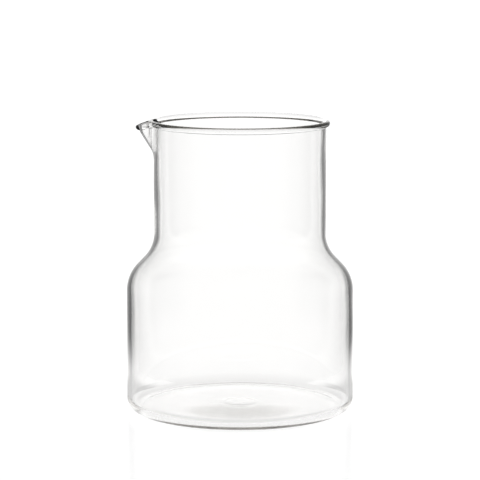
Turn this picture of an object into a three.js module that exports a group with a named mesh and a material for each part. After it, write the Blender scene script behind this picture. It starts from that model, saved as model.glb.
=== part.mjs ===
// A clear glass beaker, blown as one piece: a straight round body, a rounded shoulder,
// a narrower straight neck, an out-turned lip and a small pulled pouring spout.
// Millimetres, +Z up. The origin is on the vessel's axis, on the surface it stands on,
// and the spout points along -X.

import * as THREE from "three";
import { mergeVertices } from "three/addons/utils/BufferGeometryUtils.js";

// ---- Driving dimensions -----------------------------------------------------------------

const HEIGHT = 141.3;
const WALL = 2.0;

const BODY_RADIUS = 55.1;
const NECK_RADIUS = 41.9;

const HEEL_RADIUS = 5.5; // outer rounding between the base and the body
const INNER_HEEL_RADIUS = 4.2;
const FLOOR_THICKNESS = 2.4; // at the floor's edge
const FLOOR_DOME = 0.75; // how much thicker the floor is in its middle

const SHOULDER_START_Z = 58.3; // where the straight body ends
const SHOULDER_RADIUS = 19; // outer radius of the upper rounding of the body
const THROAT_RADIUS = 16; // outer radius of the hollow rounding under the neck
const SHOULDER_SLOPE = THREE.MathUtils.degToRad(42.6); // steepest lean, from the vertical

const FLARE_START_Z = 138; // the neck's wall starts to turn outwards here
const FLARE_REACH = 1.05; // how far out it has turned at the lip
const LIP_RADIUS = 1.5; // fire-polished round edge, thicker than the wall

const KICK_RADIUS = 38; // the base is pushed up inside this radius
const KICK_HEIGHT = 0.6;
const DIMPLE_RADIUS = 7.4; // round tool mark in the middle of the underside
const DIMPLE_DEPTH = 0.18;
const DIMPLE_EDGE = 1.6; // half the width of the dimple's soft edge

const SPOUT_START_Z = 125.6; // the pull leaves the neck here
const SPOUT_CREST_Z = 138.2; // and stops growing here, so that the lip keeps its round edge
const SPOUT_SLOPE = 0.53; // outward pull for each millimetre of height
const SPOUT_BLEND = 1.2; // softness of both ends of the pull
const SPOUT_HALF_WIDTH = 3.6; // sideways spread of the pull, as a bell curve
const SPOUT_DROP = 0.33; // how far the pulled glass sinks, as a share of the pull
const SPOUT_THINNING = 0.1; // extra pull of the inner face, which stretches the wall thin
const SPOUT_NARROWING = 0.2; // how much narrower the channel is than the spout's outside

// ---- Fineness -----------------------------------------------------------------------------

const COLUMNS = 60;
const CROWDING = 0.6; // 0 spaces the columns evenly, towards 1 they crowd round the spout
const SPOUT_ROW_PITCH = 2;
const SHOULDER_STEPS = 5;
const HEEL_STEPS = 5;
const LIP_STEPS = 7;
const FLARE_SHARES = [0, 0.4, 0.66, 0.8, 0.92]; // rows from the flare's start to the lip

const QUARTER_TURN = Math.PI / 2;

// ---- The section, as points of radius, height and depth -------------------------------------
// Depth is 0 on the outer face of the wall and 1 on its inner face.

function sectionPoint(radius, z, depth) {
  return { radius, z, depth };
}

function arc(centreRadius, centreZ, radius, from, to, steps, depth) {
  const points = [];
  for (let i = 0; i <= steps; i += 1) {
    const angle = from + ((to - from) * i) / steps;
    const r = centreRadius + radius * Math.cos(angle);
    points.push(sectionPoint(r, centreZ + radius * Math.sin(angle), depth));
  }
  return points;
}

// A gentle rise from 0 at the edge of the kick to 1 on the axis.
function inwardRise(radius) {
  return Math.max(0, 1 - (radius / KICK_RADIUS) ** 2) ** 2;
}

function dimple(radius) {
  const outer = DIMPLE_RADIUS + DIMPLE_EDGE;
  const inner = DIMPLE_RADIUS - DIMPLE_EDGE;
  return DIMPLE_DEPTH * (1 - THREE.MathUtils.smoothstep(radius, inner, outer));
}

function underside() {
  const dimpleRadii = [-DIMPLE_EDGE, 0, DIMPLE_EDGE].map((step) => DIMPLE_RADIUS + step);
  const kickRadii = [0.38, 0.58, 0.78, 1].map((share) => share * KICK_RADIUS);
  const radii = [0, ...dimpleRadii, ...kickRadii];
  return radii.map((r) => sectionPoint(r, KICK_HEIGHT * inwardRise(r) + dimple(r), 0));
}

function floorTop() {
  const radii = [1, 0.8, 0.6, 0.4, 0.2, 0].map((share) => share * KICK_RADIUS);
  const rise = KICK_HEIGHT + FLOOR_DOME;
  return radii.map((r) => sectionPoint(r, FLOOR_THICKNESS + rise * inwardRise(r), 1));
}

// The shoulder is an outward arc, a short straight lean and a hollow arc that ends on the neck.
const SHOULDER_CENTRE = BODY_RADIUS - SHOULDER_RADIUS;
const THROAT_CENTRE = NECK_RADIUS + THROAT_RADIUS;
const ROUNDED_STEP = (SHOULDER_RADIUS + THROAT_RADIUS) * (1 - Math.cos(SHOULDER_SLOPE));
const LEAN_RUN = BODY_RADIUS - NECK_RADIUS - ROUNDED_STEP;
const LEAN_RISE = LEAN_RUN / Math.tan(SHOULDER_SLOPE);
const NECK_START_Z =
  SHOULDER_START_Z + (SHOULDER_RADIUS + THROAT_RADIUS) * Math.sin(SHOULDER_SLOPE) + LEAN_RISE;

function shoulder(inset, depth) {
  const rounding = SHOULDER_RADIUS - inset;
  const hollow = THROAT_RADIUS + inset;
  const throatTurn = Math.PI + SHOULDER_SLOPE;
  return [
    ...arc(SHOULDER_CENTRE, SHOULDER_START_Z, rounding, 0, SHOULDER_SLOPE, SHOULDER_STEPS, depth),
    ...arc(THROAT_CENTRE, NECK_START_Z, hollow, throatTurn, Math.PI, SHOULDER_STEPS, depth),
  ];
}

// Plain rows up the neck, where the spout's pull needs them.
function neckRows(radius, depth) {
  const first = SPOUT_START_Z - 3 * SPOUT_BLEND;
  const last = FLARE_START_Z - SPOUT_ROW_PITCH / 2;
  const points = [];
  for (let z = first; z < last; z += SPOUT_ROW_PITCH) {
    points.push(sectionPoint(radius, z, depth));
  }
  return points;
}

// The lip: the middle of the wall leans out along a parabola and ends in a round edge.
const LIP_CENTRE_Z = HEIGHT - LIP_RADIUS;
const MID_RADIUS = NECK_RADIUS - WALL / 2;
const LIP_LEAN = Math.atan((2 * FLARE_REACH) / (LIP_CENTRE_Z - FLARE_START_Z));

// Half the wall's thickness at a distance below the middle of the round edge.
function halfWall(below) {
  const plain = WALL / 2;
  const swell = LIP_RADIUS - plain;
  const chord = Math.sqrt(Math.max(0, LIP_RADIUS ** 2 - below ** 2));
  const share = THREE.MathUtils.clamp(0.5 + (0.5 * (chord - plain)) / swell, 0, 1);
  return plain + (chord - plain) * share + swell * share * (1 - share);
}

function flare(share, side, depth) {
  const lean = Math.atan(Math.tan(LIP_LEAN) * share);
  const z = THREE.MathUtils.lerp(FLARE_START_Z, LIP_CENTRE_Z, share);
  const half = side * halfWall((LIP_CENTRE_Z - z) / Math.cos(lean));
  const radius = MID_RADIUS + FLARE_REACH * share * share;
  return sectionPoint(radius + half * Math.cos(lean), z - half * Math.sin(lean), depth);
}

function lip() {
  const outside = FLARE_SHARES.map((share) => flare(share, 1, 0));
  const inside = FLARE_SHARES.map((share) => flare(share, -1, 1)).reverse();
  const middle = MID_RADIUS + FLARE_REACH;
  const turn = Math.PI - LIP_LEAN;
  const edge = arc(middle, LIP_CENTRE_Z, LIP_RADIUS, -LIP_LEAN, turn, LIP_STEPS, 0);
  edge.forEach((point, i) => {
    point.depth = i / (edge.length - 1);
  });
  return [...outside, ...edge, ...inside];
}

function section() {
  const heelCentre = BODY_RADIUS - HEEL_RADIUS;
  const innerCentre = BODY_RADIUS - WALL - INNER_HEEL_RADIUS;
  const innerZ = FLOOR_THICKNESS + INNER_HEEL_RADIUS;
  const neckInside = NECK_RADIUS - WALL;
  return [
    ...underside(),
    ...arc(heelCentre, HEEL_RADIUS, HEEL_RADIUS, -QUARTER_TURN, 0, HEEL_STEPS, 0),
    ...shoulder(0, 0),
    ...neckRows(NECK_RADIUS, 0),
    ...lip(),
    ...neckRows(neckInside, 1).reverse(),
    ...shoulder(WALL, 1).reverse(),
    ...arc(innerCentre, innerZ, INNER_HEEL_RADIUS, 0, -QUARTER_TURN, HEEL_STEPS, 1),
    ...floorTop(),
  ];
}

// ---- The spout, pulled out of the lathed wall -----------------------------------------------

function pullAt(z, offCentre, depth) {
  const under = z - SPOUT_CREST_Z;
  const held = SPOUT_CREST_Z + (under - Math.hypot(under, SPOUT_BLEND)) / 2;
  const above = held - SPOUT_START_Z;
  const rise = (above + Math.hypot(above, SPOUT_BLEND)) / 2;
  const fade = THREE.MathUtils.smoothstep(z, SPOUT_START_Z - 4 * SPOUT_BLEND, SPOUT_START_Z);
  const spread = (offCentre * (1 + SPOUT_NARROWING * depth)) / SPOUT_HALF_WIDTH;
  const bell = Math.exp(-0.5 * spread * spread);
  return SPOUT_SLOPE * rise * fade * bell * (1 + SPOUT_THINNING * depth);
}

function columnAngle(column) {
  const even = (2 * Math.PI * column) / COLUMNS;
  return even - CROWDING * Math.sin(even);
}

function blownVessel() {
  const points = section();
  const profile = points.map((point) => new THREE.Vector2(point.radius, point.z));
  const geometry = new THREE.LatheGeometry(profile, COLUMNS);
  const position = geometry.attributes.position;
  for (let i = 0; i < position.count; i += 1) {
    const { radius, z, depth } = points[i % points.length];
    const angle = columnAngle(Math.floor(i / points.length));
    const fromSpout = Math.atan2(Math.sin(angle), Math.cos(angle));
    const pull = pullAt(z, fromSpout * NECK_RADIUS, depth);
    const reach = radius + pull;
    const sunk = z - SPOUT_DROP * pull;
    position.setXYZ(i, -reach * Math.cos(angle), -reach * Math.sin(angle), sunk);
  }
  geometry.deleteAttribute("normal");
  geometry.deleteAttribute("uv");
  const vessel = mergeVertices(geometry, 1e-5);
  vessel.computeVertexNormals();
  return vessel;
}

// ---- The model --------------------------------------------------------------------------------

const clearGlass = new THREE.MeshStandardMaterial({
  color: 0xf4f7f6,
  roughness: 0.03,
  metalness: 0,
  transparent: true,
  opacity: 0.3,
});

const beakerGlass = new THREE.Mesh(blownVessel(), clearGlass);
beakerGlass.name = "beaker_glass";

const beaker = new THREE.Group();
beaker.add(beakerGlass);

export default beaker;
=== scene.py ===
"""A clear glass beaker with a neck and a pulled spout, standing in a bright-field studio.

The beaker is one piece of blown glass. Its fine surface is lathed here from a section made
of arcs and straight runs, pulled out at the spout, and it stands for the coarser solid of
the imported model. All lengths are metres, +Z is up and the spout points along -X.
"""

import logging
import math
from dataclasses import dataclass, field
from enum import Enum

import bpy
import numpy as np
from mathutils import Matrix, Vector


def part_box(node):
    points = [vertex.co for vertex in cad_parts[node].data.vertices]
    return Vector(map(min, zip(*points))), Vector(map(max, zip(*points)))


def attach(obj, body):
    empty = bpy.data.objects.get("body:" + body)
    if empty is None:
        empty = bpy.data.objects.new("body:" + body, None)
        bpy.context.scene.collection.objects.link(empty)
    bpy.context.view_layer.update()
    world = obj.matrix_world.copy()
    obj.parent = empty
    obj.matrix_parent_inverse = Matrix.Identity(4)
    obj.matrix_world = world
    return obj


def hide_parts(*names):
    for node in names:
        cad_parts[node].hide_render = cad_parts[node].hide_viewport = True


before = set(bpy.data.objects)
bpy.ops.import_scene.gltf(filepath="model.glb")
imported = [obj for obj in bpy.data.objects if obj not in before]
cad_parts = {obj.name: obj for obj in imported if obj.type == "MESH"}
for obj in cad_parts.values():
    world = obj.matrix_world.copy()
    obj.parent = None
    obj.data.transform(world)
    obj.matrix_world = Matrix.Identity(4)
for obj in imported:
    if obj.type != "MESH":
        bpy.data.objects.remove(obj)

LOG = logging.getLogger("beaker_scene")
MM = 0.001
QUARTER_TURN = math.pi / 2
FEWEST_ARC_STEPS = 3
FEWEST_WALL_STEPS = 2
WHITE = (1.0, 1.0, 1.0, 1.0)


class Face(Enum):
    """The two faces of the glass wall, with the depth each has in the section."""

    OUTSIDE = 0.0
    INSIDE = 1.0


class Side(Enum):
    """The two sides of the view, with the sign that each has across it."""

    LEFT = -1
    RIGHT = 1


@dataclass(frozen=True)
class SectionPoint:
    """One point of the wall's section: radius and height, and its depth through the wall."""

    radius: float
    height: float
    depth: float


def smoothstep(value: np.ndarray, low: float, high: float) -> np.ndarray:
    """Eases each number, so that the result goes from 0 at low to 1 at high."""
    share = np.clip((np.asarray(value, float) - low) / (high - low), 0, 1)
    return share * share * (3 - 2 * share)


def arc(
    centre: tuple[float, float],
    radius: float,
    turn: tuple[float, float],
    pitch: float,
    face: Face,
) -> list[SectionPoint]:
    """Lays section points along a round stretch.

    Args:
        centre: Radius and height of the arc's centre.
        radius: The arc's radius.
        turn: First and last angle, counted from straight outwards.
        pitch: About how far apart the points lie.
        face: The face of the wall that the arc belongs to.

    Returns:
        The points in order, both ends included.
    """
    steps = max(FEWEST_ARC_STEPS, math.ceil(abs(turn[1] - turn[0]) * radius / pitch))
    angles = np.linspace(turn[0], turn[1], steps + 1)
    return [
        SectionPoint(
            centre[0] + radius * math.cos(angle),
            centre[1] + radius * math.sin(angle),
            face.value,
        )
        for angle in angles
    ]


def straight(
    radius: float,
    low: float,
    high: float,
    pitch: float,
    face: Face,
) -> list[SectionPoint]:
    """Lays section points strictly between two heights on a straight wall, going up.

    Args:
        radius: The wall's radius.
        low: The lower height.
        high: The upper height.
        pitch: The widest gap between two points.
        face: The face of the wall that the points belong to.

    Returns:
        The points in order, both ends left out.
    """
    steps = max(FEWEST_WALL_STEPS, math.ceil((high - low) / pitch))
    heights = np.linspace(low, high, steps + 1)[1:-1]
    return [SectionPoint(radius, z, face.value) for z in heights]


@dataclass
class SpoutPull:
    """The pouring spout: glass pulled outwards and down from the top of the neck.

    The pull starts at start_height and grows by slope up to crest_height, with both ends
    softened by blend. It fades in over fade_blends blends below its start, and the neck's
    close rows begin lead_blends blends below it.
    """

    start_height: float = 125.6 * MM
    crest_height: float = 138.2 * MM
    slope: float = 0.53
    blend: float = 1.2 * MM
    half_width: float = 3.6 * MM
    drop: float = 0.33
    thinning: float = 0.1
    narrowing: float = 0.2
    fade_blends: float = 4
    lead_blends: float = 3

    @property
    def lowest_row(self) -> float:
        """Height where the neck's rows have to be close together for the pull."""
        return self.start_height - self.lead_blends * self.blend

    def amount(self, height: np.ndarray, off_centre: np.ndarray, depth: np.ndarray) -> np.ndarray:
        """Says how far the wall is pulled outwards.

        Args:
            height: Heights on the unpulled wall.
            off_centre: Distances along the neck's round from the spout's middle.
            depth: 0 on the outer face of the wall and 1 on its inner face.

        Returns:
            The outward pull at each point.
        """
        under = height - self.crest_height
        held = self.crest_height + (under - np.hypot(under, self.blend)) / 2
        above = held - self.start_height
        rise = (above + np.hypot(above, self.blend)) / 2
        fade_start = self.start_height - self.fade_blends * self.blend
        fade = smoothstep(height, fade_start, self.start_height)
        spread = off_centre * (1 + self.narrowing * depth) / self.half_width
        bell = np.exp(-0.5 * spread * spread)
        return self.slope * rise * fade * bell * (1 + self.thinning * depth)


@dataclass
class BlownWaves:
    """The slow wander of a blown wall's inner face, which makes the glass look hand-finished.

    Each number in rings counts the waves round the vessel. Their phase turns with height, once
    in each rise at a pace of 1. The floor stays still inside still_radius.
    """

    depth: float = 0.035 * MM
    rings: tuple[float, ...] = (3.0, 5.0, 8.0, 13.0)
    rise: float = 45 * MM
    phase_step: float = 1.7
    slowest: float = 0.6
    quickening: float = 0.35
    still_radius: float = 10 * MM
    full_radius: float = 30 * MM

    def offset(self, angle: np.ndarray, height: np.ndarray, radius: np.ndarray) -> np.ndarray:
        """Gives the inner face's shift towards the axis.

        Args:
            angle: Angles round the axis, from the spout.
            height: Heights on the wall.
            radius: Distances from the axis, where the middle of the floor stays still.

        Returns:
            The shift at each point, within a few hundredths of a millimetre.
        """
        total = np.zeros(np.broadcast(angle, height).shape)
        for order, count in enumerate(self.rings):
            pace = self.slowest + self.quickening * order
            phase = self.phase_step * order + math.tau * height / self.rise * pace
            total += np.sin(count * angle + np.sin(phase)) / (order + 1)
        return self.depth * total * smoothstep(radius, self.still_radius, self.full_radius)


@dataclass(frozen=True)
class Fineness:
    """How close together the rows and columns of the fine surface lie.

    A pitch is a gap between rows. A crowding of 0 spaces the columns evenly, and towards 1
    they crowd round the spout.
    """

    columns: int = 256
    crowding: float = 0.55
    dimple_reach: float = 10 * MM
    dimple_pitch: float = 0.4 * MM
    under_rows: int = 22
    foot_rows: int = 7
    floor_rows: int = 32
    heel_pitch: float = 0.5 * MM
    inner_heel_pitch: float = 0.45 * MM
    heel_gap: float = 0.6 * MM
    wall_pitch: float = 2.6 * MM
    shoulder_pitch: float = 1.0 * MM
    spout_pitch: float = 0.55 * MM
    flare_rows: int = 24
    lip_pitch: float = 0.13 * MM


@dataclass
class BeakerGlass:
    """The whole vessel as one lathed and pulled skin of glass.

    The kick is the base's gentle push-up, the dimple is the tool mark in its middle, and the
    foot is the low edge that the vessel stands on. The neck flares out into a round lip.
    """

    body_radius: float
    height: float
    wall: float = 2.0 * MM
    neck_radius: float = 41.9 * MM
    heel_radius: float = 5.5 * MM
    inner_heel_radius: float = 4.2 * MM
    floor_thickness: float = 2.4 * MM
    floor_dome: float = 0.75 * MM
    shoulder_start: float = 58.3 * MM
    shoulder_radius: float = 19 * MM
    throat_radius: float = 16 * MM
    shoulder_slope: float = math.radians(42.6)
    flare_start: float = 138 * MM
    flare_reach: float = 1.05 * MM
    lip_radius: float = 1.5 * MM
    kick_radius: float = 38 * MM
    kick_height: float = 0.6 * MM
    dimple_radius: float = 7.4 * MM
    dimple_depth: float = 0.10 * MM
    dimple_edge: float = 2.2 * MM
    foot_arch: float = 0.05 * MM
    foot_edge: tuple[float, float] = (46.5 * MM, 48.4 * MM)
    fineness: Fineness = field(default_factory=Fineness)
    spout: SpoutPull = field(default_factory=SpoutPull)
    waves: BlownWaves = field(default_factory=BlownWaves)

    def push_up(self, radius: float) -> float:
        """Height of the base's gentle push-up at a radius."""
        inward = max(0.0, 1 - (radius / self.kick_radius) ** 2)
        return self.kick_height * inward * inward

    def floor_rise(self, radius: float) -> float:
        """Height of the floor's upper face above its edge, with the glass thicker inwards."""
        inward = max(0.0, 1 - (radius / self.kick_radius) ** 2)
        return self.push_up(radius) + self.floor_dome * inward * inward

    def dimple(self, radius: float) -> float:
        """Height of the round tool mark in the middle of the underside."""
        edges = (self.dimple_radius - self.dimple_edge, self.dimple_radius + self.dimple_edge)
        return self.dimple_depth * (1 - float(smoothstep(radius, *edges)))

    def under_height(self, radius: float) -> float:
        """Height of the underside, which is only at its lowest near the outer edge."""
        arch = self.foot_arch * (1 - float(smoothstep(radius, *self.foot_edge)))
        return self.push_up(radius) + self.dimple(radius) + arch

    def underside(self) -> list[SectionPoint]:
        """Lays the underside's points.

        Returns:
            Section points from the axis to the low edge of the foot.
        """
        fine = self.fineness
        middle = np.arange(0, fine.dimple_reach, fine.dimple_pitch)
        outer = np.linspace(fine.dimple_reach, self.foot_edge[0], fine.under_rows)
        foot = np.linspace(*self.foot_edge, fine.foot_rows)[1:]
        return [
            SectionPoint(r, self.under_height(r), Face.OUTSIDE.value)
            for r in [*middle, *outer, *foot]
        ]

    def floor_top(self) -> list[SectionPoint]:
        """Lays the points of the floor's upper face.

        Returns:
            Section points from the floor's edge to the axis.
        """
        radii = np.linspace(self.kick_radius, 0, self.fineness.floor_rows)
        return [
            SectionPoint(r, self.floor_thickness + self.floor_rise(r), Face.INSIDE.value)
            for r in radii
        ]

    @property
    def neck_start(self) -> float:
        """Works out where the throat's hollow round ends and the straight neck starts.

        Returns:
            The height of that place.
        """
        rounds = self.shoulder_radius + self.throat_radius
        step = rounds * (1 - math.cos(self.shoulder_slope))
        run = self.body_radius - self.neck_radius - step
        rise = run / math.tan(self.shoulder_slope)
        return self.shoulder_start + rounds * math.sin(self.shoulder_slope) + rise

    def shoulder(self, face: Face) -> list[SectionPoint]:
        """Lays the shoulder's round and the throat's hollow round.

        Args:
            face: The face of the wall.

        Returns:
            Section points going up.
        """
        inset = self.wall * face.value
        slope = self.shoulder_slope
        pitch = self.fineness.shoulder_pitch
        body = (self.body_radius - self.shoulder_radius, self.shoulder_start)
        throat = (self.neck_radius + self.throat_radius, self.neck_start)
        lower = arc(body, self.shoulder_radius - inset, (0, slope), pitch, face)
        turn = (math.pi + slope, math.pi)
        upper = arc(throat, self.throat_radius + inset, turn, pitch, face)
        return lower + upper

    def side(self, face: Face) -> list[SectionPoint]:
        """Lays one face of the wall from the heel to the flare.

        Args:
            face: The face of the wall.

        Returns:
            Section points going up.
        """
        fine = self.fineness
        inset = self.wall * face.value
        body = self.body_radius - inset
        neck = self.neck_radius - inset
        heel_top = self.heel_radius + fine.heel_gap
        pull_start = self.spout.lowest_row
        return [
            *straight(body, heel_top, self.shoulder_start, fine.wall_pitch, face),
            *self.shoulder(face),
            *straight(neck, self.neck_start, pull_start, fine.wall_pitch, face),
            SectionPoint(neck, pull_start, face.value),
            *straight(neck, pull_start, self.flare_start, fine.spout_pitch, face),
        ]

    def half_wall(self, below: float) -> float:
        """Half the wall's thickness, swelling into the lip's round edge.

        Args:
            below: The distance below the middle of the round edge.

        Returns:
            Half the thickness there.
        """
        plain = self.wall / 2
        chord = math.sqrt(max(0.0, self.lip_radius**2 - below**2))
        swell = self.lip_radius - plain
        share = min(1.0, max(0.0, 0.5 + 0.5 * (chord - plain) / swell))
        return plain + (chord - plain) * share + swell * share * (1 - share)

    def lip_section(self) -> list[SectionPoint]:
        """Lays the out-turned, fire-polished lip.

        Returns:
            Section points over the lip, from the outer face to the inner face.
        """
        centre_height = self.height - self.lip_radius
        middle = self.neck_radius - self.wall / 2
        tangent = 2 * self.flare_reach / (centre_height - self.flare_start)
        outside, inside = [], []
        for share in np.linspace(0, 1, self.fineness.flare_rows)[:-1]:
            lean = math.atan(tangent * share)
            height = self.flare_start + (centre_height - self.flare_start) * share
            half = self.half_wall((centre_height - height) / math.cos(lean))
            radius = middle + self.flare_reach * share * share
            across, down = half * math.cos(lean), half * math.sin(lean)
            outside.append(SectionPoint(radius + across, height - down, Face.OUTSIDE.value))
            inside.append(SectionPoint(radius - across, height + down, Face.INSIDE.value))
        lean_at_lip = math.atan(tangent)
        turn = (-lean_at_lip, math.pi - lean_at_lip)
        centre = (middle + self.flare_reach, centre_height)
        edge = arc(centre, self.lip_radius, turn, self.fineness.lip_pitch, Face.OUTSIDE)
        last = len(edge) - 1
        edge = [SectionPoint(p.radius, p.height, i / last) for i, p in enumerate(edge)]
        return outside + edge + inside[::-1]

    def section(self) -> list[SectionPoint]:
        """Joins all stretches of the section.

        Returns:
            Section points from the underside's middle, up and over the lip, to the floor's.
        """
        fine = self.fineness
        heel = (self.body_radius - self.heel_radius, self.heel_radius)
        inner = self.inner_heel_radius
        inner_heel = (self.body_radius - self.wall - inner, self.floor_thickness + inner)
        down = (0, -QUARTER_TURN)
        return [
            *self.underside(),
            *arc(heel, self.heel_radius, down[::-1], fine.heel_pitch, Face.OUTSIDE),
            *self.side(Face.OUTSIDE),
            *self.lip_section(),
            *self.side(Face.INSIDE)[::-1],
            *arc(inner_heel, inner, down, fine.inner_heel_pitch, Face.INSIDE),
            *self.floor_top(),
        ]

    def surface(self) -> tuple[np.ndarray, int]:
        """Lathes the section and pulls the spout.

        Returns:
            Points as rows of X, Y, Z, ordered by section row and then by column, and the
            number of rows.
        """
        points = self.section()
        radius = np.array([[p.radius] for p in points])
        height = np.array([[p.height] for p in points])
        depth = np.array([[p.depth] for p in points])
        columns = self.fineness.columns
        even = math.tau * np.arange(columns)[None, :] / columns
        angle = even - self.fineness.crowding * np.sin(even)
        off_centre = np.arctan2(np.sin(angle), np.cos(angle)) * self.neck_radius
        pull = self.spout.amount(height, off_centre, depth)
        wander = self.waves.offset(angle, height, radius) * depth
        reach = radius + pull - wander
        z = height - self.spout.drop * pull
        x, y = -reach * np.cos(angle), -reach * np.sin(angle)
        return np.stack([x, y, z], axis=-1).reshape(-1, 3), len(points)

    def mesh(self) -> bpy.types.Mesh:
        """Makes the closed mesh, with one vertex at each end of the section.

        Returns:
            The smooth-shaded mesh.
        """
        points, rows = self.surface()
        columns = self.fineness.columns
        inner = points[columns:-columns]
        bottom = points[0] * (0, 0, 1)
        top = points[-1] * (0, 0, 1)
        vertices = np.vstack([inner, bottom, top])
        under, over = len(vertices) - 2, len(vertices) - 1
        last_row = rows - 3
        faces = []
        for row in range(last_row):
            low, high = row * columns, (row + 1) * columns
            for column in range(columns):
                after = (column + 1) % columns
                faces.append((low + column, low + after, high + after, high + column))
        last = last_row * columns
        for column in range(columns):
            after = (column + 1) % columns
            faces.append((under, after, column))
            faces.append((over, last + column, last + after))
        mesh = bpy.data.meshes.new("beaker_glass_skin")
        mesh.from_pydata(vertices.tolist(), [], faces)
        mesh.polygons.foreach_set("use_smooth", [True] * len(mesh.polygons))
        mesh.validate()
        mesh.update()
        return mesh

    def build(self, glass: bpy.types.Material) -> bpy.types.Object:
        """Makes the visible piece and puts it in the place of the coarse solid.

        Args:
            glass: The material of the whole piece.

        Returns:
            The piece, riding on the part's one body.
        """
        piece = bpy.data.objects.new("beaker_clear_glass", self.mesh())
        bpy.context.scene.collection.objects.link(piece)
        piece.data.materials.append(glass)
        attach(piece, "root")
        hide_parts("beaker_glass")
        return piece


@dataclass(frozen=True)
class ClearGlass:
    """Clear borosilicate glass with the faint ripple that blowing leaves."""

    index: float = 1.473
    tint: tuple[float, float, float, float] = (0.998, 0.997, 0.994, 1)
    depth_colour: tuple[float, float, float, float] = (0.40, 0.36, 0.30, 1)
    depth_density: float = 7
    ripple_size: float = 60
    ripple_stretch: tuple[float, float, float] = (1, 1, 0.35)
    ripple_detail: float = 1
    ripple_depth: float = 0.004 * MM

    def ripple_group(self) -> bpy.types.NodeTree:
        """Builds the node group that gives the height of the ripple.

        Returns:
            The group, with the input Size and the output Height.
        """
        group = bpy.data.node_groups.new("blown_ripple", "ShaderNodeTree")
        group.interface.new_socket("Size", in_out="INPUT", socket_type="NodeSocketFloat")
        group.interface.new_socket("Height", in_out="OUTPUT", socket_type="NodeSocketFloat")
        nodes, links = group.nodes, group.links
        given = nodes.new("NodeGroupInput")
        made = nodes.new("NodeGroupOutput")
        place = nodes.new("ShaderNodeTexCoord")
        stretch = nodes.new("ShaderNodeMapping")
        stretch.inputs["Scale"].default_value = self.ripple_stretch
        noise = nodes.new("ShaderNodeTexNoise")
        noise.inputs["Detail"].default_value = self.ripple_detail
        links.new(place.outputs["Object"], stretch.inputs["Vector"])
        links.new(stretch.outputs["Vector"], noise.inputs["Vector"])
        links.new(given.outputs["Size"], noise.inputs["Scale"])
        links.new(noise.outputs["Fac"], made.inputs["Height"])
        return group

    def material(self) -> bpy.types.Material:
        """Builds the glass material.

        Returns:
            Clear glass that greys a little where light runs far inside it.
        """
        glass = bpy.data.materials.new("clear_borosilicate_glass")
        glass.use_nodes = True
        nodes, links = glass.node_tree.nodes, glass.node_tree.links
        shader = nodes["Principled BSDF"]
        shader.inputs["Base Color"].default_value = self.tint
        shader.inputs["Metallic"].default_value = 0
        shader.inputs["Roughness"].default_value = 0
        shader.inputs["IOR"].default_value = self.index
        shader.inputs["Transmission Weight"].default_value = 1
        ripple = nodes.new("ShaderNodeGroup")
        ripple.node_tree = self.ripple_group()
        ripple.inputs["Size"].default_value = self.ripple_size
        bump = nodes.new("ShaderNodeBump")
        bump.inputs["Distance"].default_value = self.ripple_depth
        links.new(ripple.outputs["Height"], bump.inputs["Height"])
        links.new(bump.outputs["Normal"], shader.inputs["Normal"])
        depth = nodes.new("ShaderNodeVolumeAbsorption")
        depth.inputs["Color"].default_value = self.depth_colour
        depth.inputs["Density"].default_value = self.depth_density
        links.new(depth.outputs["Volume"], nodes["Material Output"].inputs["Volume"])
        return glass


@dataclass(frozen=True)
class PaintedReflectionSheet:
    """Glowing sheets that paint reflected light and shade, and only show in and through clear
    glass.
    """

    tone_name: str = "tone"
    below_one_scatter: float = 0.5

    def material(self) -> bpy.types.Material:
        """Builds the glowing sheet, a painted reflection that only rays through or off clear
        glass see.

        Rays that a matt surface has scattered pass it, so that it casts no shade on the table.

        Returns:
            The material, which takes its painted tone of reflected light and shade from the mesh.
        """
        painted_sheet = bpy.data.materials.new("painted_reflection_sheet")
        painted_sheet.use_nodes = True
        nodes, links = painted_sheet.node_tree.nodes, painted_sheet.node_tree.links
        nodes.clear()
        tone = nodes.new("ShaderNodeAttribute")
        tone.attribute_name = self.tone_name
        path = nodes.new("ShaderNodeLightPath")
        clear = nodes.new("ShaderNodeBsdfTransparent")
        grey = nodes.new("ShaderNodeEmission")
        unscattered = nodes.new("ShaderNodeMath")
        unscattered.operation = "LESS_THAN"
        unscattered.inputs[1].default_value = self.below_one_scatter
        shown = nodes.new("ShaderNodeMath")
        shown.operation = "MULTIPLY"
        mix = nodes.new("ShaderNodeMixShader")
        surface = nodes.new("ShaderNodeOutputMaterial")
        # The mesh's tone sets the glow, which paints reflected light and shade into the glass.
        links.new(tone.outputs["Fac"], grey.inputs["Strength"])
        links.new(path.outputs["Diffuse Depth"], unscattered.inputs[0])
        links.new(unscattered.outputs["Value"], shown.inputs[0])
        links.new(path.outputs["Is Singular Ray"], shown.inputs[1])
        links.new(shown.outputs["Value"], mix.inputs["Fac"])
        links.new(clear.outputs["BSDF"], mix.inputs[1])
        links.new(grey.outputs["Emission"], mix.inputs[2])
        links.new(mix.outputs["Shader"], surface.inputs["Surface"])
        return painted_sheet


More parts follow.
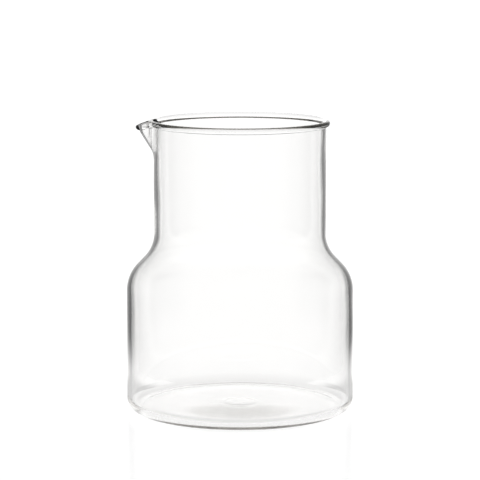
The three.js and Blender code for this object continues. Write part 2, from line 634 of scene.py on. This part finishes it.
@dataclass(frozen=True)
class GlossyWhite:
    """The white table's finish: pale, softly glossy, and lit a little from within."""

    white: float = 0.35
    glow: float = 1.0
    roughness: float = 0.18
    shine: float = 0.2

    def material(self) -> bpy.types.Material:
        """Builds the table's material.

        Returns:
            A glowing matt white with a share of blurred mirror.
        """
        finish = bpy.data.materials.new("white_table")
        finish.use_nodes = True
        nodes, links = finish.node_tree.nodes, finish.node_tree.links
        matt = nodes["Principled BSDF"]
        matt.inputs["Base Color"].default_value = (self.white, self.white, self.white, 1)
        matt.inputs["Specular IOR Level"].default_value = 0
        matt.inputs["Roughness"].default_value = 1
        matt.inputs["Emission Color"].default_value = WHITE
        matt.inputs["Emission Strength"].default_value = self.glow
        gloss = nodes.new("ShaderNodeBsdfGlossy")
        gloss.inputs["Roughness"].default_value = self.roughness
        mix = nodes.new("ShaderNodeMixShader")
        mix.inputs["Fac"].default_value = self.shine
        links.new(matt.outputs["BSDF"], mix.inputs[1])
        links.new(gloss.outputs["BSDF"], mix.inputs[2])
        links.new(mix.outputs["Shader"], nodes["Material Output"].inputs["Surface"])
        return finish


@dataclass
class PaintedReflectionCards:
    """Sheets of painted reflection bent round the vessel, which only show in and through clear
    glass.

    Angles are in degrees. An edge is counted from straight behind the vessel, as the camera
    sees it, and a turn is counted from the sheet's edge towards the front. Tones are painted
    glow strengths beside a white of 1, standing for reflected light and shade.
    """

    radius: float = 0.11
    foot_radius: float = 0.060
    foot_height: float = 0.2 * MM
    height: float = 0.30
    low_edge: float = 40.4
    high_edge: float = 36.2
    edge_low_height: float = 0.045
    edge_high_height: float = 0.085
    end: float = 180.0
    # These tones are painted glow: white and halo tones paint pale strips of light, the edge,
    # pale, dark and front tones paint dark reflected bands, and the foot tone paints shade near
    # the base.
    white_tone: float = 1.25
    low_white_tone: float = 1.1
    halo_tone: float = 1.1
    edge_tone: float = 0.70
    pale_tone: float = 0.42
    low_dark_tone: float = 0.15
    high_dark_tone: float = 0.24
    foot_tone: float = 0.66
    front_tone: float = 0.55
    halo_turn: float = 5.0
    pale_turn: float = 2.5
    dark_turn: tuple[float, float] = (6.5, 11.0)
    front_turn: tuple[float, float] = (45.0, 75.0)
    foot_turn: float = 14.0
    last_turn: float = 145.0
    fade_height: float = 0.024
    edge_gap: float = 0.01
    halo_pitch: float = 1.0
    fine_turn: float = 14.0
    fine_pitch: float = 0.5
    coarse_columns: int = 44
    fade_rows: int = 9
    upper_rows: int = 30
    painted_sheet: PaintedReflectionSheet = field(default_factory=PaintedReflectionSheet)

    def edge(self, height: float) -> float:
        """Says at what angle the sheets begin at a height."""
        share = float(smoothstep(height, self.edge_low_height, self.edge_high_height))
        return self.low_edge + (self.high_edge - self.low_edge) * share

    def halo(self, turn: float, height: float) -> float:
        """Says how bright the painted pale strip of light before the sheet's edge looks.

        Args:
            turn: The angle past the edge, below 0 here.
            height: The height above the table.

        Returns:
            The tone.
        """
        reach = float(smoothstep(turn, -self.halo_turn, 0))
        low = 1 - float(smoothstep(height, self.fade_height, self.edge_high_height))
        white = self.white_tone + (self.low_white_tone - self.white_tone) * low
        return white + (self.halo_tone - white) * reach * low

    def tone(self, turn: float, height: float) -> float:
        """Says how bright a sheet glows, as painted reflected light and shade.

        Args:
            turn: The angle past the sheet's edge.
            height: The height above the table.

        Returns:
            The tone.
        """
        if turn < 0:
            return self.halo(turn, height)
        to_pale = float(smoothstep(turn, 0, self.pale_turn))
        to_dark = float(smoothstep(turn, *self.dark_turn))
        to_front = float(smoothstep(turn, *self.front_turn))
        upper = float(smoothstep(height, self.edge_low_height, self.edge_high_height))
        dark = self.low_dark_tone + (self.high_dark_tone - self.low_dark_tone) * upper
        tone = self.edge_tone + (self.pale_tone - self.edge_tone) * to_pale
        tone += (dark - self.pale_tone) * to_dark
        tone += (self.front_tone - dark) * to_front
        # Near the table the tone turns to the foot's tone, a painted shade round the vessel's
        # base.
        lift = 1 - float(smoothstep(height, 0, self.fade_height))
        outward = float(smoothstep(turn, 0, self.foot_turn))
        foot = self.halo_tone + (self.foot_tone - self.halo_tone) * outward
        return tone + (foot - tone) * lift

    def rows(self) -> list[tuple[float, float]]:
        """Lays a sheet's rows.

        Returns:
            The radius and height of each row, from the foot on the table to the top.
        """
        fading = np.linspace(self.foot_height, self.fade_height, self.fade_rows)
        above = np.linspace(self.fade_height, self.height, self.upper_rows)[1:]
        upright = [(self.radius, float(z)) for z in (*fading, *above)]
        return [(self.foot_radius, self.foot_height), *upright]

    def turns(self) -> np.ndarray:
        """Lays a sheet's columns.

        Returns:
            The turn of each column, from the halo's start to the front.
        """
        halo = np.append(np.arange(-self.halo_turn, 0, self.halo_pitch), -self.edge_gap)
        fine = np.arange(0, self.fine_turn, self.fine_pitch)
        coarse = np.linspace(self.fine_turn, self.last_turn, self.coarse_columns)
        return np.concatenate([halo, fine, coarse])

    def mesh(self, name: str, side: Side) -> bpy.types.Mesh:
        """Makes one sheet with its foot on the table and its tones.

        Args:
            name: The mesh's name.
            side: The side of the view that the sheet stands on.

        Returns:
            The sheet's mesh.
        """
        rows, turns = self.rows(), self.turns()
        vertices, tones = [], []
        for radius, height in rows:
            edge = self.edge(height)
            for turn in turns:
                angle = math.radians(min(edge + float(turn), self.end))
                across = side.value * radius * math.sin(angle)
                vertices.append((across, radius * math.cos(angle), height))
                tones.append(self.tone(float(turn), height))
        width = len(turns)
        faces = []
        for row in range(len(rows) - 1):
            for column in range(width - 1):
                corner = row * width + column
                faces.append((corner, corner + 1, corner + width + 1, corner + width))
        mesh = bpy.data.meshes.new(name)
        mesh.from_pydata(vertices, [], faces)
        tone_layer = mesh.attributes.new(self.painted_sheet.tone_name, "FLOAT", "POINT")
        tone_layer.data.foreach_set("value", tones)
        return mesh

    def build(self, camera: bpy.types.Object) -> None:
        """Stands the sheets on both sides, on a base that turns to the camera.

        Args:
            camera: The camera that the base turns towards.
        """
        base = bpy.data.objects.new("card_base", None)
        bpy.context.scene.collection.objects.link(base)
        turn = base.constraints.new("LOCKED_TRACK")
        turn.target = camera
        turn.track_axis = "TRACK_NEGATIVE_Y"
        turn.lock_axis = "LOCK_Z"
        painted_sheet = self.painted_sheet.material()
        for name, side in (("left_reflection_card", Side.LEFT), ("right_reflection_card", Side.RIGHT)):
            mesh = self.mesh(name, side)
            mesh.materials.append(painted_sheet)
            sheet = bpy.data.objects.new(name, mesh)
            bpy.context.scene.collection.objects.link(sheet)
            sheet.parent = base
            # Hidden from the camera and from scattered light, the sheet only paints reflections
            # in the glass.
            sheet.visible_camera = False
            sheet.visible_diffuse = False
            sheet.visible_shadow = False


@dataclass
class Studio:
    """A white glossy table under a bright horizon, with painted-reflection sheets beside the
    vessel.
    """

    horizon: float = 1.3
    ceiling: float = 0.35
    horizon_top: float = math.radians(9)
    ceiling_start: float = math.radians(22)
    table_half_width: float = 4.0
    table_drop: float = 0.02 * MM
    table_finish: GlossyWhite = field(default_factory=GlossyWhite)
    reflection_cards: PaintedReflectionCards = field(default_factory=PaintedReflectionCards)
    camera_place: tuple[float, float, float] = (0, -1.125, 0.250)
    camera_pitch: float = math.radians(8.455)
    camera_lens: float = 175.8
    bounces: int = 128
    transmission_bounces: int = 64
    glossy_bounces: int = 96
    transparent_bounces: int = 16

    def camera(self) -> bpy.types.Object:
        """Makes the camera, above the vessel's lip and looking down a little at its shoulder.

        Returns:
            The camera, which is also the scene's camera.
        """
        data = bpy.data.cameras.new("studio_camera")
        data.lens = self.camera_lens
        camera = bpy.data.objects.new("studio_camera", data)
        bpy.context.scene.collection.objects.link(camera)
        camera.location = self.camera_place
        camera.rotation_euler = (QUARTER_TURN - self.camera_pitch, 0, 0)
        bpy.context.scene.camera = camera
        return camera

    def world(self) -> None:
        """Lights the room: bright round the horizon and dimmer overhead."""
        world = bpy.data.worlds.new("studio_room")
        bpy.context.scene.world = world
        world.use_nodes = True
        nodes, links = world.node_tree.nodes, world.node_tree.links
        background = nodes["Background"]
        place = nodes.new("ShaderNodeTexCoord")
        split = nodes.new("ShaderNodeSeparateXYZ")
        ramp = nodes.new("ShaderNodeMapRange")
        ramp.interpolation_type = "SMOOTHSTEP"
        ramp.inputs["From Min"].default_value = math.sin(self.horizon_top)
        ramp.inputs["From Max"].default_value = math.sin(self.ceiling_start)
        ramp.inputs["To Min"].default_value = self.horizon
        ramp.inputs["To Max"].default_value = self.ceiling
        links.new(place.outputs["Generated"], split.inputs["Vector"])
        links.new(split.outputs["Z"], ramp.inputs["Value"])
        background.inputs["Color"].default_value = WHITE
        links.new(ramp.outputs["Result"], background.inputs["Strength"])

    def table(self) -> None:
        """Makes the white glossy table top, a hair below the vessel's foot."""
        half = self.table_half_width
        mesh = bpy.data.meshes.new("table_top")
        sides = [(-half, -half), (half, -half), (half, half), (-half, half)]
        corners = [(x, y, -self.table_drop) for x, y in sides]
        mesh.from_pydata(corners, [], [(0, 1, 2, 3)])
        mesh.materials.append(self.table_finish.material())
        table = bpy.data.objects.new("table_top", mesh)
        bpy.context.scene.collection.objects.link(table)

    def build(self) -> None:
        """Sets up the room, the table, the cards, the camera and how light is followed."""
        camera = self.camera()
        self.world()
        self.table()
        self.reflection_cards.build(camera)
        scene = bpy.context.scene
        scene.view_settings.view_transform = "Standard"
        scene.cycles.max_bounces = self.bounces
        scene.cycles.transmission_bounces = self.transmission_bounces
        scene.cycles.glossy_bounces = self.glossy_bounces
        scene.cycles.transparent_max_bounces = self.transparent_bounces


def main() -> None:
    """Builds the beaker and its studio, and reports each piece."""
    logging.basicConfig(level=logging.INFO, format="%(name)s: %(message)s")
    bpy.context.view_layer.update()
    low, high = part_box("beaker_glass")
    vessel = BeakerGlass(body_radius=(high.y - low.y) / 2, height=high.z)
    piece = vessel.build(ClearGlass().material())
    LOG.info("%s: %d faces", piece.name, len(piece.data.polygons))
    Studio().build()
    LOG.info("studio is set")


if __name__ == "__main__":
    main()
